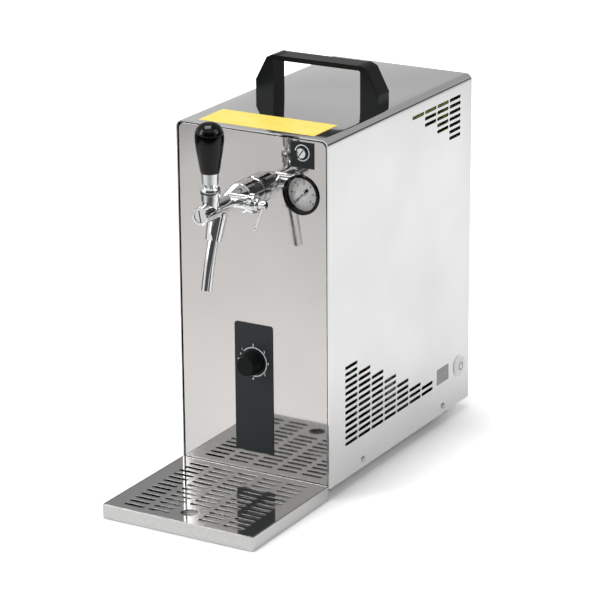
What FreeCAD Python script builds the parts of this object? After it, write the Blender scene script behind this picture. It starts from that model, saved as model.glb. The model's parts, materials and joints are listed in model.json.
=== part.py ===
import FreeCAD
import Part
import math
import os

from FreeCAD import Vector

os.makedirs("parts", exist_ok=True)

# Beer dispenser with a keg cooler inside. Lengths are in millimetres.
# The origin is on the ground, in the middle of the whole footprint. X runs across the
# front, to the right as seen by the user, Y runs from the front to the back, Z is up.

# General fits
sheet = 1.5
seat_gap = 0.2
running_gap = 0.06
loose_gap = 0.3

# Cabinet
shell_width = 192.0
shell_depth = 340.0
shell_height = 400.0
shell_corner_radius = 8.0
rear_flange = 12.0
panel_gap = 1.5
panel_recess = 1.0
panel_corner_radius = 7.5
base_flange = 18.0

# Feet
foot_height = 12.7
foot_top_radius = 12.0
foot_bottom_radius = 10.0
foot_inset_side = 24.0
foot_inset_front = 27.0
foot_inset_rear = 30.0
foot_recess = 6.0

# Side vents: two triangular fields of slots with clipped ends
vent_length = 28.0
vent_width = 4.1
vent_pitch_along = 30.4
vent_pitch_up = 7.5
vent_low_from_front = 36.5
vent_low_from_base = 40.5
vent_low_columns = 7
vent_low_first_rows = 13
vent_low_last_rows = 2
vent_high_from_rear = 28.6
vent_high_from_top = 20.1
vent_high_columns = 4
rear_vent_length = 60.0
rear_vent_width = 4.0
rear_vent_pitch = 9.5
rear_vent_rows = 16
rear_vent_from_base = 60.0

# Screws
screw_radius = 2.0
screw_head_radius = 3.8
screw_head_height = 2.2
screw_length = 10.0
side_screw_rise = 9.4
side_screw_front = 77.9
side_screw_rear = 65.7

# Carry handle
handle_height = 46.5
handle_side_gap = 17.0
handle_leg_width = 23.0
handle_depth = 25.0
handle_from_front = 143.0
handle_grip = 5.5
handle_side_rise = 15.5
handle_shoulder_inset = 14.5
handle_shoulder_drop = 3.5
handle_flat_inset = 22.0
handle_inner_radius = 2.5
cap_thickness = 2.0
cap_reach = 26.0
cap_bulge = 3.0
cap_lip = 0.5
handle_screw_radius = 2.5
handle_screw_head_radius = 4.2
handle_screw_head_height = 3.5
handle_screw_seat = 8.0
handle_nut_radius = 4.6
handle_nut_height = 4.0

# Yellow label on the top and grey label on the right side, both left blank
top_label_margin = 23.0
top_label_depth = 51.0
top_label_from_front = 10.5
side_label_length = 29.0
side_label_height = 19.0
side_label_from_rear = 53.0
side_label_rise = 39.5
label_thickness = 0.3

# Control plate and thermostat
control_plate_width = 49.0
control_plate_height = 151.7
control_plate_rise = 26.7
control_plate_corner = 3.5
plate_thickness = 1.0
thermostat_rise = 133.7
knob_base_radius = 14.0
knob_front_radius = 10.0
knob_height = 17.0
knob_clearance = 0.8
knob_skirt = 3.0
knob_edge_radius = 1.2
spindle_radius = 3.0
bush_radius = 4.8
thermostat_nut_height = 2.4
thermostat_nut_radius = 7.5
thermostat_box_width = 46.0
thermostat_box_height = 34.0
thermostat_box_depth = 28.0

# Pressure adjuster
adjuster_plate_side = 28.9
adjuster_from_side = 32.1
adjuster_plate_drop = 19.7
adjuster_drop = 17.2
adjuster_head_radius = 5.5
adjuster_head_height = 2.5
adjuster_slot_width = 1.2
adjuster_slot_depth = 1.0
adjuster_slot_angle = 125.0
adjuster_stem_radius = 3.0

# Pressure gauge
gauge_from_side = 34.0
gauge_drop = 64.7
gauge_bezel_radius = 22.5
gauge_case_radius = 21.0
gauge_window_radius = 19.3
gauge_bezel_height = 1.8
gauge_bezel_edge = 0.8
gauge_case_depth = 20.0
gauge_wall = 1.4
dial_thickness = 0.8
dial_setback = 8.0
needle_length = 15.0
needle_tail = 5.0
needle_weight_radius = 1.9
needle_thickness = 0.5
needle_width = 1.4
needle_tip_width = 0.3
needle_hub_radius = 2.0
needle_hub_height = 0.8
needle_rise = 0.5
needle_zero_angle = 225.0
lens_thickness = 1.2
lens_setback = 0.8
gauge_pivot_radius = 1.0
gauge_stem_radius = 5.0
gauge_ledge = 1.5
gauge_post_radius = 3.0
gauge_post_height = 8.0

# Air manifold behind the gauge and adjuster
manifold_width = 20.0
manifold_depth = 16.0
manifold_over = 8.0
manifold_rise = 8.0
barb_radius = 3.0
barb_length = 8.0
air_hose_radius = 4.0

# Tap
tap_drop = 69.7
shank_radius = 8.0
shank_bore_radius = 4.0
collar_length = 27.0
collar_step = 2.2
collar_rear_radius = 15.0
collar_radius = 16.5
collar_groove_rise = 11.5
collar_groove_width = 1.0
collar_groove_depth = 0.6
collar_notch_rise = 7.0
collar_notch_width = 6.0
collar_notch_length = 7.0
collar_notch_depth = 2.5
collar_notches = 4
spigot_length = 16.0
spigot_radius = 12.0
cone_length = 25.0
cone_start_radius = 15.5
barrel_radius = 9.75
barrel_end = 101.0
tap_bore_radius = 6.5
valve_seat_radius = 4.0
valve_seat_start = 50.0
valve_seat_end = 53.0
front_cap_radius = 9.8
front_cap_length = 6.0
plug_radius = 6.5
plug_slot_width = 1.6
plug_slot_depth = 1.2
plug_setback = 0.8
plug_slot_angle = 80.0

# Lever
lever_from_front = 84.5
lever_pivot_rise = 19.0
lever_ball_radius = 7.5
lever_shaft_radius = 2.8
lever_finger_radius = 1.8
lever_tip_radius = 2.3
lever_finger_length = 15.7
turret_neck_radius = 9.2
turret_radius = 10.2
turret_shoulder = 12.6
turret_top = 19.4
turret_nut_radius = 11.0
turret_nut_height = 8.3
turret_nut_chamfer = 2.4
turret_lip_rise = 3.5
turret_lip_radius = 5.9
turret_mouth_radius = 7.6
ball_seat_drop = 5.3
finger_slot_width = 5.2
finger_slot_length = 16.2
ferrule_rise = 12.2
ferrule_height = 11.6
ferrule_bottom_radius = 9.2
ferrule_top_radius = 9.8
lever_knob_bottom_radius = 10.2
lever_knob_radius = 15.8
lever_knob_height = 55.2
lever_shaft_in_knob = 12.0

# Valve
stem_front = 98.0
stem_rear = 75.0
stem_rod_radius = 2.5
seal_radius = 5.8
seal_length = 4.0
stem_slot_length = 6.6
stem_slot_width = 5.0

# Spout
socket_from_front = 80.3
socket_drop = 33.9
socket_tilt = 21.0
socket_bottom_radius = 9.0
socket_top_radius = 11.0
socket_length = 30.0
socket_bore_depth = 20.0
socket_flat_depth = 1.0
socket_flat_height = 10.0
spout_radius = 6.0
spout_bore_radius = 5.0
spout_end_tilt = 14.0
spout_first_straight = 6.0
spout_bend_length = 30.0
spout_last_straight = 18.0

# Compensator on the right side of the tap
compensator_from_front = 46.6
compensator_rise = 3.1
compensator_boss_radius = 8.0
compensator_boss_reach = 24.7
compensator_nut_radius = 11.1
compensator_nut_length = 11.1
compensator_nut_neck = 2.0
compensator_face_setback = 4.0
compensator_face_radius = 7.4
compensator_edge = 1.0
compensator_spindle_radius = 3.0
compensator_spindle_inner = 8.0
compensator_hub_radius = 4.5
compensator_hub_length = 8.5
compensator_pin_length = 27.0
compensator_pin_angle = 52.5
compensator_pin_root_radius = 1.5
compensator_pin_tip_radius = 2.2

# Drip tray
tray_reach = 165.2
tray_height = 16.4
tray_wall = 1.2
tray_corner_radius = 2.0
grid_thickness = 1.5
grid_gap = 0.4
grid_flange = 1.2
grid_slot_length = 25.3
grid_slot_width = 5.2
grid_columns = 5
grid_rows = 13
grid_pitch_across = 31.8
grid_pitch_along = 11.2
grid_front_margin = 15.0
finger_hole_radius = 9.4
finger_hole_rows = 3

# Power button on the right side
button_from_rear = 26.0
button_rise = 47.6
button_bezel_radius = 12.8
button_bezel_height = 2.0
button_tube_radius = 10.8
button_tube_depth = 16.0
button_tube_floor = 2.0
button_radius = 9.4
button_bore_radius = 9.7
button_proud = 3.0
button_length = 11.0
button_edge = 0.8
button_crown = 0.5

# Rear fittings
beer_inlet_from_side = 51.0
beer_inlet_drop = 90.0
inlet_thread_radius = 8.0
inlet_nut_radius = 12.5
inlet_nut_height = 6.0
inlet_thread_length = 14.0
inlet_stub_radius = 4.8
inlet_stub_length = 6.0
inlet_bore_radius = 3.0
air_outlet_from_side = 36.0
air_outlet_drop = 70.0
air_outlet_body_radius = 7.0
air_outlet_body_length = 8.0
air_outlet_tip_radius = 4.0
air_outlet_tip_length = 14.0
gland_from_side = 34.0
gland_rise = 26.0
gland_radius = 8.5
gland_length = 14.0
gland_bore_radius = 3.6
fitting_tail_radius = 5.0
fitting_tail_length = 10.0

# Cooling block, its insulation and the shelf that carries them
compressor_headroom = 28.5
shelf_from_front = 50.0
insulation_side_gap = 18.0
insulation_top_gap = 20.0
insulation_depth = 133.0
insulation_wall = 28.0
shelf_leg_width = 16.0
beer_line_radius = 4.0

# Compressor
compressor_x = -14.0
compressor_from_front = 150.0
compressor_radius = 56.0
compressor_height = 124.0
compressor_dome = 26.0
compressor_seam_radius = 59.0
compressor_seam_height = 4.0
compressor_foot_side = 108.0
compressor_foot_thickness = 3.0
grommet_radius = 8.0
grommet_height = 8.0
refrigerant_pipe_radius = 3.0
capillary_radius = 1.2

# Condenser and fan
condenser_from_front = 262.0
condenser_side_gap = 28.0
condenser_depth = 38.0
condenser_bottom = 46.0
condenser_height = 200.0
condenser_core = 10.0
fin_count = 24
fin_thickness = 0.8
fan_radius = 58.0
fan_tip_gap = 2.5
fan_ring_wall = 1.5
fan_ring_depth = 16.0
fan_shroud_thickness = 1.5
fan_hub_radius = 18.0
fan_hub_length = 12.0
fan_blades = 5
fan_blade_thickness = 1.2
fan_blade_pitch = 28.0
fan_motor_radius = 26.0
fan_motor_length = 32.0
fan_shaft_radius = 2.5
motor_bracket_width = 32.0

# Air pump
pump_from_side = 52.0
pump_from_front = 28.0
pump_motor_radius = 18.0
pump_motor_length = 42.0
pump_head_side = 40.0
pump_head_depth = 18.0
pump_foot_height = 7.0

X = Vector(1, 0, 0)
Y = Vector(0, 1, 0)
Z = Vector(0, 0, 1)

# Places worked out from the driving dimensions
inlet_reach = inlet_nut_height + inlet_thread_length + inlet_stub_length
rear_reach = sheet + inlet_reach
front_y = -(shell_depth + rear_reach - tray_reach) / 2
rear_y = front_y + shell_depth
base_z = foot_height
top_z = foot_height + shell_height
half_width = shell_width / 2
inner_half = half_width - sheet
panel_front_y = front_y + panel_recess
panel_back_y = panel_front_y + sheet
floor_z = base_z + sheet
tap_z = top_z - tap_drop
gauge_z = top_z - gauge_drop
adjuster_z = top_z - adjuster_drop
gauge_x = half_width - gauge_from_side
adjuster_x = half_width - adjuster_from_side
thermostat_z = base_z + thermostat_rise
lever_y = front_y - lever_from_front
pivot_z = tap_z + lever_pivot_rise
ball_seat_z = pivot_z - ball_seat_drop
handle_outer = half_width - handle_side_gap
handle_inner = handle_outer - handle_leg_width
beer_inlet = Vector(beer_inlet_from_side - half_width, rear_y + sheet, top_z - beer_inlet_drop)
air_outlet = Vector(half_width - air_outlet_from_side, rear_y + sheet, top_z - air_outlet_drop)
gland = Vector(half_width - gland_from_side, rear_y + sheet, base_z + gland_rise)
condenser_half = half_width - condenser_side_gap


def save(node, *solids):
    shape = solids[0] if len(solids) == 1 else Part.makeCompound(list(solids))
    shape.exportStep("parts/" + node + ".step")


def outline(frame, start, *steps):
    """Closed wire in the plane of frame; a step is a point, or a pair (point on arc, end)."""
    origin, across, along = frame
    here = start
    edges = []
    for step in steps:
        if isinstance(step[0], tuple):
            middle, end = step
            points = [origin + across * p[0] + along * p[1] for p in (here, middle, end)]
            edges.append(Part.Arc(*points).toShape())
        else:
            end = step
            points = [origin + across * p[0] + along * p[1] for p in (here, end)]
            edges.append(Part.makeLine(*points))
        here = end
    if here != start:
        points = [origin + across * p[0] + along * p[1] for p in (here, start)]
        edges.append(Part.makeLine(*points))
    return Part.Wire(edges)


def prism(frame, depth, start, *steps):
    return Part.Face(outline(frame, start, *steps)).extrude(depth)


def turned(origin, side, axis, start, *steps):
    """Solid of revolution; a point is (radius, distance along the axis)."""
    face = Part.Face(outline((origin, side, axis), start, *steps))
    solid = face.revolve(origin, axis, 360)
    return solid if solid.Volume > 0 else solid.reversed()


def box(x0, x1, y0, y1, z0, z1):
    return Part.makeBox(x1 - x0, y1 - y0, z1 - z0, Vector(x0, y0, z0))


def rod(radius, start, end):
    return Part.makeCylinder(radius, (end - start).Length, start, end - start)


def tube(outer, inner, start, end):
    return rod(outer, start, end).cut(rod(inner, start, end))


def hexagon(radius, start, end):
    """Hexagonal bar whose flats lie at radius from its axis."""
    axis = (end - start).normalize()
    side = Z if abs(axis.z) < 0.5 else X
    other = axis.cross(side)
    corner = radius / math.cos(math.pi / 6)
    points = []
    for i in range(6):
        angle = math.radians(60 * i)
        points.append(start + side * (corner * math.cos(angle)) + other * (corner * math.sin(angle)))
    return Part.Face(Part.makePolygon(points + points[:1])).extrude(end - start)


def arch(width, z0, z1, radius, y0, y1):
    """Upright slab with rounded top corners."""
    half = width / 2
    bend = radius * (1 - math.sqrt(0.5))
    frame = (Vector(0, y0, 0), X, Z)
    left = ((-half + bend, z1 - bend), (-half + radius, z1))
    right = ((half - bend, z1 - bend), (half, z1 - radius))
    return prism(frame, Y * (y1 - y0), (-half, z0), (-half, z1 - radius), left,
                 (half - radius, z1), right, (half, z0))


def slot(frame, depth, centre, length, width):
    """Slot cutter with clipped ends, its length along the frame's first direction."""
    clip = width * 0.3
    x, y = centre
    half, rise = length / 2, width / 2
    return prism(frame, depth,
                 (x - half, y - rise + clip), (x - half, y + rise - clip),
                 (x - half + clip, y + rise), (x + half - clip, y + rise),
                 (x + half, y + rise - clip), (x + half, y - rise + clip),
                 (x + half - clip, y - rise), (x - half + clip, y - rise))


def pipe(radius, bend, points, bore=0):
    """Round pipe along straight runs that are joined by tangent arcs."""
    edges = []
    here = points[0]
    for before, corner, after in zip(points, points[1:], points[2:]):
        arrive = (corner - before).normalize()
        leave = (after - corner).normalize()
        turn = arrive.getAngle(leave)
        cut_back = bend * math.tan(turn / 2)
        first = corner - arrive * cut_back
        last = corner + leave * cut_back
        inward = (leave - arrive).normalize()
        middle = corner + inward * (bend / math.cos(turn / 2) - bend)
        edges.append(Part.makeLine(here, first))
        edges.append(Part.Arc(first, middle, last).toShape())
        here = last
    edges.append(Part.makeLine(here, points[-1]))
    path = Part.Wire(edges)
    way = (points[1] - points[0]).normalize()
    shape = path.makePipeShell([Part.Wire(Part.makeCircle(radius, points[0], way))], True, False)
    if bore:
        shape = shape.cut(path.makePipeShell([Part.Wire(Part.makeCircle(bore, points[0], way))], True, False))
    return shape


def cap_middle(radius, rim, top):
    """Point half-way along a ball cap's arc between (radius, rim) and the axis at top."""
    height = top - rim
    ball = (radius ** 2 + height ** 2) / (2 * abs(height))
    half_angle = math.asin(radius / ball) / 2
    drop = math.copysign(ball * (1 - math.cos(half_angle)), height)
    return ball * math.sin(half_angle), top - drop


def pan_screw(seat, direction, length, radius, head_radius, head_height):
    """Screw whose domed head stands on seat and whose shank runs along direction."""
    side = Z if abs(direction.z) < 0.5 else X
    edge = head_height * 0.4
    head = turned(seat, side, direction * -1, (0, 0), (head_radius, 0), (head_radius, edge),
                  (cap_middle(head_radius, edge, head_height), (0, head_height)))
    return head.fuse(rod(radius, seat, seat + direction * length))


# Cabinet sheets

def side_screw_places():
    return [front_y + side_screw_front, rear_y - side_screw_rear]


def side_screw_hole(y):
    z = base_z + side_screw_rise
    return rod(screw_radius + seat_gap, Vector(-shell_width, y, z), Vector(shell_width, y, z))


def through_rear(radius, place):
    """Cutter along Y through the sheets at a place on the outside of the rear panel."""
    return rod(radius + seat_gap, place - Y * (4 * sheet), place + Y * sheet)


def side_vents():
    """Every side slot as one prism that runs through both side walls."""
    frame = (Vector(-shell_width, 0, 0), Y, Z)
    cutters = []
    for column in range(vent_low_columns):
        rows = max(vent_low_last_rows, vent_low_first_rows - 2 * column)
        y = front_y + vent_low_from_front + vent_length / 2 + column * vent_pitch_along
        for row in range(rows):
            z = base_z + vent_low_from_base + row * vent_pitch_up
            cutters.append(slot(frame, X * (2 * shell_width), (y, z), vent_length, vent_width))
    for column in range(vent_high_columns):
        rows = 1 + 2 * (vent_high_columns - 1 - column)
        y = rear_y - vent_high_from_rear - vent_length / 2 - column * vent_pitch_along
        for row in range(rows):
            z = top_z - vent_high_from_top - row * vent_pitch_up
            cutters.append(slot(frame, X * (2 * shell_width), (y, z), vent_length, vent_width))
    return Part.makeCompound(cutters)


def outer_shell():
    shell = arch(shell_width, base_z, top_z, shell_corner_radius, front_y, rear_y)
    inner_radius = shell_corner_radius - sheet
    inside = arch(2 * inner_half, base_z, top_z - sheet, inner_radius, front_y, rear_y - sheet)
    shell = shell.cut(inside)
    edge = half_width - rear_flange
    rear_hole = box(-edge, edge, rear_y - 2 * sheet, rear_y + sheet, base_z, top_z - rear_flange)
    shell = shell.cut(rear_hole).cut(side_vents())
    holes = []
    for y in side_screw_places():
        holes.append(side_screw_hole(y))
    for x, y in handle_screw_places():
        start = Vector(x, y, top_z - 2 * sheet)
        holes.append(rod(handle_screw_radius + seat_gap, start, start + Z * (4 * sheet)))
    for place in rear_screw_places():
        holes.append(through_rear(screw_radius, place))
    button = button_centre()
    holes.append(rod(button_tube_radius + seat_gap, button - X * (2 * sheet), button + X * sheet))
    save("outer_shell", shell.cut(Part.makeCompound(holes)))


def front_panel():
    width = 2 * (inner_half - panel_gap)
    panel = arch(width, base_z, top_z - sheet - panel_gap, panel_corner_radius, panel_front_y, panel_back_y)
    holes = [(0, tap_z, shank_radius), (0, thermostat_z, bush_radius),
             (gauge_x, gauge_z, gauge_case_radius), (adjuster_x, adjuster_z, adjuster_stem_radius)]
    for x, z, radius in holes:
        start = Vector(x, panel_front_y - sheet, z)
        panel = panel.cut(rod(radius + seat_gap, start, start + Y * (4 * sheet)))
    save("front_panel", panel)


def base_plate():
    half = inner_half - seat_gap
    rear = rear_y - sheet - seat_gap
    outer = box(-half, half, panel_back_y, rear, base_z, base_z + base_flange)
    inside = box(sheet - half, half - sheet, panel_back_y + sheet, rear - sheet, floor_z, top_z)
    plate = outer.cut(inside)
    for y in side_screw_places():
        plate = plate.cut(side_screw_hole(y))
    for x, y in foot_places():
        start = Vector(x, y, base_z - sheet)
        plate = plate.cut(rod(screw_radius + seat_gap, start, start + Z * (4 * sheet)))
    for place in rear_screw_places():
        plate = plate.cut(through_rear(screw_radius, place))
    save("base_plate", plate.cut(through_rear(fitting_tail_radius, gland)))


def rear_screw_places():
    inset = rear_flange / 2
    places = []
    for x in (inset - half_width, half_width - inset):
        for z in (base_z + side_screw_rise, base_z + shell_height * 0.5, top_z - rear_flange):
            places.append(Vector(x, rear_y + sheet, z))
    return places


def rear_panel():
    panel = arch(2 * inner_half, base_z, top_z - sheet, shell_corner_radius, rear_y, rear_y + sheet)
    frame = (Vector(0, rear_y - sheet, 0), X, Z)
    cutters = []
    column_x = rear_vent_length / 2 + rear_vent_width
    for x in (-column_x, column_x):
        for row in range(rear_vent_rows):
            z = base_z + rear_vent_from_base + row * rear_vent_pitch
            cutters.append(slot(frame, Y * (4 * sheet), (x, z), rear_vent_length, rear_vent_width))
    for place in rear_screw_places():
        cutters.append(through_rear(screw_radius, place))
    for place in (beer_inlet, air_outlet, gland):
        cutters.append(through_rear(fitting_tail_radius, place))
    save("rear_panel", panel.cut(Part.makeCompound(cutters)))


def cabinet_screws():
    seats = [(place, Y * -1) for place in rear_screw_places()]
    for side in (-1, 1):
        for y in side_screw_places():
            seats.append((Vector(side * half_width, y, base_z + side_screw_rise), X * -side))
    for x, y in foot_places():
        seats.append((Vector(x, y, foot_recess), Z))
    screws = [pan_screw(seat, way, screw_length, screw_radius, screw_head_radius, screw_head_height)
              for seat, way in seats]
    save("cabinet_screws", *screws)


# Feet

def foot_places():
    places = []
    for x in (foot_inset_side - half_width, half_width - foot_inset_side):
        for y in (front_y + foot_inset_front, rear_y - foot_inset_rear):
            places.append((x, y))
    return places


def feet():
    rubber = []
    for x, y in foot_places():
        foot = turned(Vector(x, y, 0), X, Z, (screw_head_radius + 1, 0), (foot_bottom_radius, 0),
                      (foot_top_radius, foot_height), (screw_radius + seat_gap, foot_height),
                      (screw_radius + seat_gap, foot_recess), (screw_head_radius + 1, foot_recess))
        rubber.append(foot)
    save("feet", *rubber)


# Carry handle: an arch with a screw in each leg and a cap over each shoulder

def handle_screw_places():
    x = (handle_outer + handle_inner) / 2
    y = front_y + handle_from_front + handle_depth / 2
    return [(-x, y), (x, y)]


def handle_outline(inset):
    """Outside of the arch, moved inwards by inset, as points from left to right."""
    top = top_z + handle_height
    corners = [(handle_outer, top_z), (handle_outer, top_z + handle_side_rise),
               (handle_outer - handle_shoulder_inset, top - handle_shoulder_drop),
               (handle_outer - handle_flat_inset, top), (0, top)]
    right = [(handle_outer - inset, top_z)]
    for before, here, after in zip(corners, corners[1:], corners[2:]):
        turns = []
        for a, b in ((before, here), (here, after)):
            length = math.hypot(b[0] - a[0], b[1] - a[1])
            turns.append(((b[1] - a[1]) / length, (a[0] - b[0]) / length))
        (ux, uz), (vx, vz) = turns
        scale = inset / (1 + ux * vx + uz * vz)
        right.append((here[0] - (ux + vx) * scale, here[1] - (uz + vz) * scale))
    left = [(-x, z) for x, z in reversed(right)]
    return left + right


def handle_slab(inset):
    frame = (Vector(0, front_y + handle_from_front, 0), X, Z)
    points = handle_outline(inset)
    return prism(frame, Y * handle_depth, points[0], *points[1:])


def handle_opening():
    frame = (Vector(0, front_y + handle_from_front, 0), X, Z)
    half = handle_inner
    top = top_z + handle_height - handle_grip
    r = handle_inner_radius
    bend = r * (1 - math.sqrt(0.5))
    left = ((bend - half, top - bend), (r - half, top))
    right = ((half - bend, top - bend), (half, top - r))
    return prism(frame, Y * handle_depth, (-half, top_z), (-half, top - r), left,
                 (half - r, top), right, (half, top_z))


def handle_cap(side):
    """Band over one shoulder of the handle; its inner end is an arc seen from above."""
    knee = top_z + handle_side_rise - cap_thickness
    frame = (Vector(0, front_y + handle_from_front, knee), X, Y)
    end = side * (handle_outer - cap_reach)
    far = side * 2 * handle_outer
    bulge = ((end - side * cap_bulge, handle_depth / 2), (end, handle_depth))
    keep = prism(frame, Z * handle_height, (end, 0), bulge, (far, handle_depth), (far, 0))
    return handle_slab(-cap_lip).cut(handle_slab(cap_thickness)).common(keep)


def carry_handle():
    handle = handle_slab(0).cut(handle_opening())
    caps = []
    screws = []
    nuts = []
    seat_z = top_z + handle_screw_seat
    nut_top = top_z - sheet
    nut_bottom = nut_top - handle_nut_height
    length = seat_z - nut_bottom + handle_nut_height * 0.25
    for side, (x, y) in zip((-1, 1), handle_screw_places()):
        seat = Vector(x, y, seat_z)
        well = rod(handle_screw_head_radius + seat_gap, seat, seat + Z * handle_height)
        hole = rod(handle_screw_radius + seat_gap, Vector(x, y, nut_top), seat)
        cap = handle_cap(side)
        handle = handle.cut(cap).cut(well).cut(hole)
        caps.append(cap)
        screws.append(pan_screw(seat, Z * -1, length, handle_screw_radius, handle_screw_head_radius,
                                handle_screw_head_height))
        nut = hexagon(handle_nut_radius, Vector(x, y, nut_bottom), Vector(x, y, nut_top))
        bore = rod(handle_screw_radius + running_gap, Vector(x, y, nut_bottom), Vector(x, y, nut_top))
        nuts.append(nut.cut(bore))
    save("carry_handle", handle)
    save("handle_caps", *caps)
    save("handle_screws", *screws)
    save("handle_nuts", *nuts)


def labels():
    y0 = front_y + top_label_from_front
    half = half_width - top_label_margin
    save("top_label", box(-half, half, y0, y0 + top_label_depth, top_z, top_z + label_thickness))
    y1 = rear_y - side_label_from_rear
    z0 = base_z + side_label_rise
    save("side_label", box(half_width, half_width + label_thickness, y1 - side_label_length, y1,
                           z0, z0 + side_label_height))


# Front controls

def thermostat():
    plate_bottom = base_z + control_plate_rise
    face_y = panel_front_y - plate_thickness
    plate = arch(control_plate_width, plate_bottom, plate_bottom + control_plate_height,
                 control_plate_corner, face_y, panel_front_y)
    face = Vector(0, face_y, thermostat_z)
    back = Vector(0, panel_back_y, thermostat_z)
    save("control_plate", plate.cut(rod(bush_radius + seat_gap, face, back)))
    half = thermostat_box_width / 2
    rise = thermostat_box_height / 2
    body = box(-half, half, panel_back_y, panel_back_y + thermostat_box_depth,
               thermostat_z - rise, thermostat_z + rise)
    nut_front = face - Y * thermostat_nut_height
    knob_back = nut_front - Y * knob_clearance
    spindle_end = back + Y * (thermostat_box_depth * 0.4)
    spindle_front = knob_back - Y * (knob_height * 0.6)
    body = body.fuse(rod(bush_radius, nut_front, back))
    body = body.cut(rod(spindle_radius + running_gap, nut_front, spindle_end + Y * loose_gap))
    save("thermostat_body", body)
    nut = hexagon(thermostat_nut_radius, face, nut_front)
    save("thermostat_nut", nut.cut(rod(bush_radius + running_gap, face, nut_front)))
    save("thermostat_spindle", rod(spindle_radius, spindle_front, spindle_end))
    front = knob_height + thermostat_nut_height
    skirt = knob_clearance + knob_skirt
    e = knob_edge_radius
    bend = e * (1 - math.sqrt(0.5))
    edge = ((knob_front_radius + e - bend, front - bend), (knob_front_radius, front))
    inner = thermostat_nut_radius * 1.25
    recess = thermostat_nut_height + knob_clearance
    knob = turned(face, X, Y * -1, (0, recess), (inner, recess), (inner, knob_clearance),
                  (knob_base_radius, knob_clearance), (knob_base_radius, skirt),
                  (knob_front_radius + e, front - e), edge, (0, front))
    save("thermostat_knob", knob.cut(rod(spindle_radius, spindle_front, knob_back)))


def adjuster():
    half = adjuster_plate_side / 2
    z = top_z - adjuster_plate_drop
    plate = box(adjuster_x - half, adjuster_x + half, panel_front_y - plate_thickness, panel_front_y,
                z - half, z + half)
    centre = Vector(adjuster_x, panel_front_y, adjuster_z)
    hole = rod(adjuster_stem_radius + seat_gap, centre - Y * (2 * plate_thickness), centre)
    save("adjuster_plate", plate.cut(hole))
    seat = centre - Y * (plate_thickness + seat_gap)
    head = rod(adjuster_head_radius, seat, seat - Y * adjuster_head_height)
    face_y = seat.y - adjuster_head_height
    reach = adjuster_head_radius
    rise = adjuster_slot_width / 2
    cut = box(adjuster_x - reach, adjuster_x + reach, face_y, face_y + adjuster_slot_depth,
              adjuster_z - rise, adjuster_z + rise)
    stem_end = manifold_front() + manifold_depth / 2
    stem = rod(adjuster_stem_radius, seat, Vector(centre.x, stem_end, adjuster_z))
    save("pressure_adjuster", head.cut(cut.rotated(centre, Y, adjuster_slot_angle)).fuse(stem))


# Pressure gauge

def gauge():
    centre = Vector(gauge_x, panel_front_y, gauge_z)
    out = Y * -1
    r = gauge_bezel_radius
    inner = gauge_case_radius - gauge_wall
    front = gauge_bezel_height
    floor = -(sheet + gauge_case_depth)
    edge = gauge_bezel_edge
    dial_height = front - dial_setback
    dial_back = dial_height - dial_thickness
    lens_front = front - lens_setback
    lens_back = lens_front - lens_thickness
    ledge = inner - gauge_ledge
    pivot_bore = gauge_pivot_radius + running_gap
    pivot_end = dial_back - gauge_post_height + gauge_wall
    case = turned(centre, X, out, (0, floor), (gauge_case_radius, floor), (gauge_case_radius, 0),
                  (r, 0), (r, front - edge), (r - edge, front), (gauge_window_radius, front),
                  (gauge_window_radius, lens_back), (inner, lens_back), (inner, dial_back),
                  (ledge, dial_back), (ledge, floor + gauge_wall), (gauge_post_radius, floor + gauge_wall),
                  (gauge_post_radius, dial_back), (pivot_bore, dial_back),
                  (pivot_bore, pivot_end - loose_gap), (0, pivot_end - loose_gap))
    stem_length = manifold_front() - (centre.y - floor)
    stem = rod(gauge_stem_radius, centre + out * floor, centre + out * (floor - stem_length))
    save("gauge_case", case.fuse(stem))
    dial = rod(inner - seat_gap, centre + out * dial_back, centre + out * dial_height)
    save("gauge_dial", dial.cut(rod(pivot_bore, centre + out * dial_back, centre + out * dial_height)))
    lens_radius = gauge_window_radius - running_gap
    save("gauge_lens", rod(lens_radius, centre + out * lens_back, centre + out * lens_front))
    angle = math.radians(needle_zero_angle)
    along = X * math.cos(angle) + Z * math.sin(angle)
    across = along.cross(Y)
    needle_back = centre + out * (dial_height + needle_rise)
    frame = (needle_back, along, across)
    root = needle_width / 2
    tip = needle_tip_width / 2
    needle = prism(frame, out * needle_thickness, (-needle_tail, -root), (needle_length, -tip),
                   (needle_length, tip), (-needle_tail, root))
    hub = rod(needle_hub_radius, needle_back, needle_back + out * needle_hub_height)
    weight = needle_back - along * needle_tail
    hub = hub.fuse(rod(needle_weight_radius, weight, weight + out * needle_thickness))
    pivot = rod(gauge_pivot_radius, centre + out * pivot_end, needle_back)
    save("gauge_needle", needle.fuse(hub).fuse(pivot))


def manifold_front():
    return panel_back_y + gauge_case_depth + manifold_over


def air_manifold():
    half = manifold_width / 2
    y0 = manifold_front()
    x = gauge_x
    block = box(x - half, x + half, y0, y0 + manifold_depth, gauge_z - half, adjuster_z + manifold_rise)
    boss = tube(adjuster_stem_radius * 2, adjuster_stem_radius + running_gap,
                Vector(adjuster_x, panel_back_y, adjuster_z), Vector(adjuster_x, y0, adjuster_z))
    stem = rod(adjuster_stem_radius + running_gap, Vector(adjuster_x, y0, adjuster_z),
               Vector(adjuster_x, y0 + manifold_depth / 2 + loose_gap, adjuster_z))
    block = block.fuse(boss).cut(stem)
    for z in (gauge_z, adjuster_z - half):
        start = Vector(x + half, y0 + manifold_depth / 2, z)
        block = block.fuse(rod(barb_radius, start, start + X * barb_length))
    save("air_manifold", block)


# Tap

def tap_point(distance, x=0, rise=0):
    """Place at a distance in front of the shell, on the axis of the tap."""
    return Vector(x, front_y - distance, tap_z + rise)


def tap_shank():
    rear = Vector(0, block_front_y(), tap_z)
    front = tap_point(collar_length - spigot_length)
    save("tap_shank", tube(shank_radius, shank_bore_radius, front, rear))


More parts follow.
